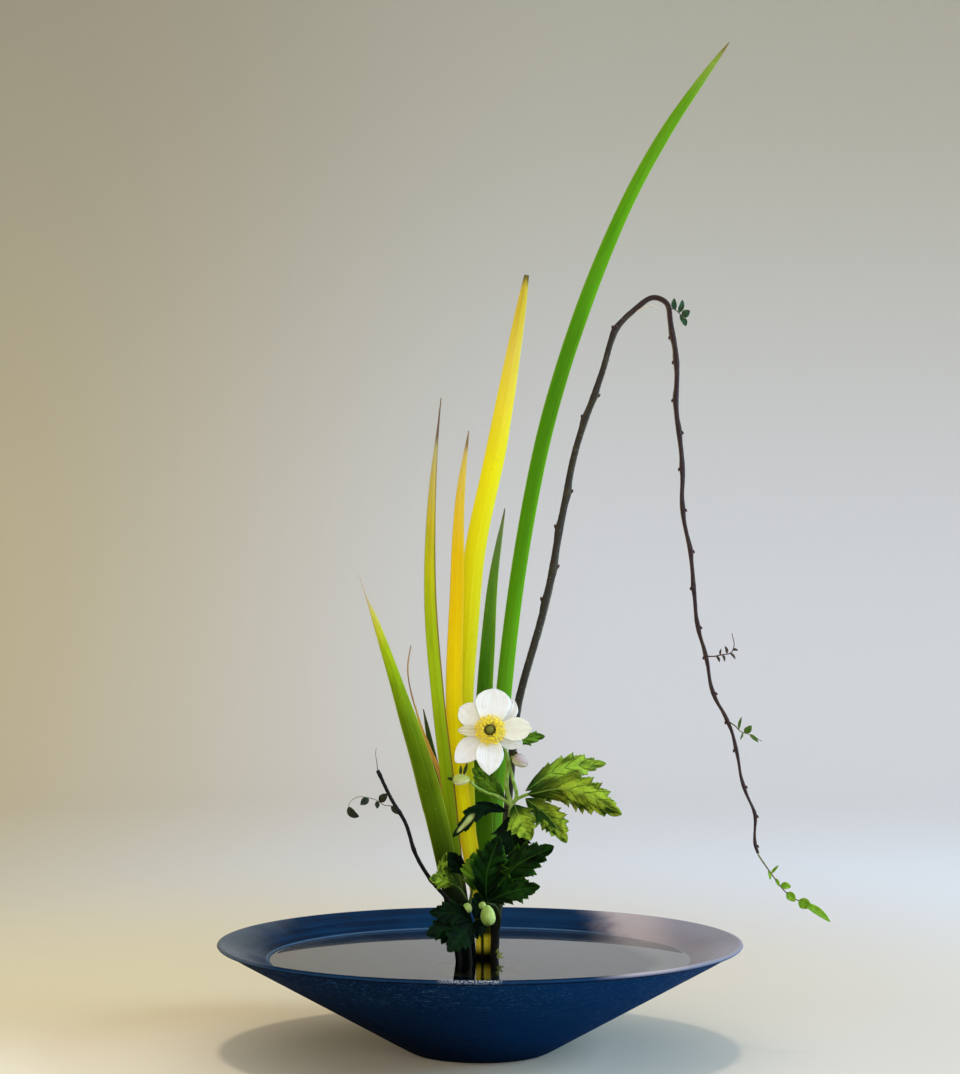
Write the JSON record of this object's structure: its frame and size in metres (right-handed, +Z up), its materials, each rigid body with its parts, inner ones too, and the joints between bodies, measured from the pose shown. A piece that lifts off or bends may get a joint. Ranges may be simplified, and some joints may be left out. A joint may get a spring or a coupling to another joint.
{
  "type": "ikebana arrangement",
  "caption": "Moribana arrangement of iris leaves, an arching branch and a white anemone, held on a pin holder under water in a wide shallow blue bowl.",
  "frame": {"origin": "centre of the bowl's flat foot, on the surface it stands on", "axes": "+Z up; the front of the arrangement looks along -Y; +X to the viewer's right, the side on which the branch hangs"},
  "size_m": [0.4058, 0.35, 0.6827],
  "materials": {
    "bowl_glaze": "satin",
    "water": "gloss",
    "kenzan_lead": "matte",
    "kenzan_brass": "satin",
    "iris_green": "satin",
    "iris_short_green": "satin",
    "iris_left_green": "satin",
    "iris_yellow": "satin",
    "iris_amber": "satin",
    "iris_lime": "satin",
    "iris_withered": "matte",
    "iris_dark": "satin",
    "bark": "matte",
    "bark_dark": "matte",
    "twig_leaf": "matte",
    "twig_leaf_fresh": "satin",
    "twig_leaf_dark": "matte",
    "anemone_stalk": "matte",
    "tepal": "matte",
    "flower_heart": "matte",
    "stamens": "matte",
    "bud": "matte",
    "anemone_leaf": "satin",
    "anemone_leaf_dark": "satin"
  },
  "bodies": {
    "root": {"bowl": "bowl_glaze", "water": "water", "kenzan_base": "kenzan_lead", "kenzan_pins": "kenzan_brass", "iris_tall_green": "iris_green", "iris_tall_yellow": "iris_yellow", "iris_amber": "iris_amber", "iris_lime": "iris_lime", "iris_short_green": "iris_short_green", "iris_left_green": "iris_left_green", "iris_withered": "iris_withered", "iris_small_dark": "iris_dark", "branch_main": "bark", "spray_bend": "twig_leaf", "twig_middle": "twig_leaf_dark", "twig_lower": "twig_leaf", "spray_tip": "twig_leaf_fresh", "branch_short": "bark_dark", "twig_curled": "twig_leaf_dark", "anemone_stem": "anemone_stalk", "anemone_stem_low": "anemone_stalk", "tepal_1": "tepal", "tepal_2": "tepal", "tepal_3": "tepal", "tepal_4": "tepal", "tepal_5": "tepal", "tepal_6": "tepal", "tepal_7": "tepal", "tepal_8": "tepal", "flower_heart": "flower_heart", "stamen_ring": "stamens", "bud_right": "bud", "bud_left": "bud", "bud_low": "bud", "bud_knob": "bud", "leaf_right_top": "anemone_leaf", "leaf_right_middle": "anemone_leaf", "leaf_right_low": "anemone_leaf", "leaf_right_fold": "anemone_leaf", "leaf_by_flower": "anemone_leaf", "leaf_by_bud": "anemone_leaf", "leaf_striped": "anemone_leaf", "leaf_cluster": "anemone_leaf", "leaf_curled": "anemone_leaf_dark", "leaf_dark_upper": "anemone_leaf_dark", "leaf_round": "anemone_leaf_dark", "leaf_dark_large": "anemone_leaf_dark", "leaf_dark_low": "anemone_leaf_dark"}
  },
  "joints": []
}
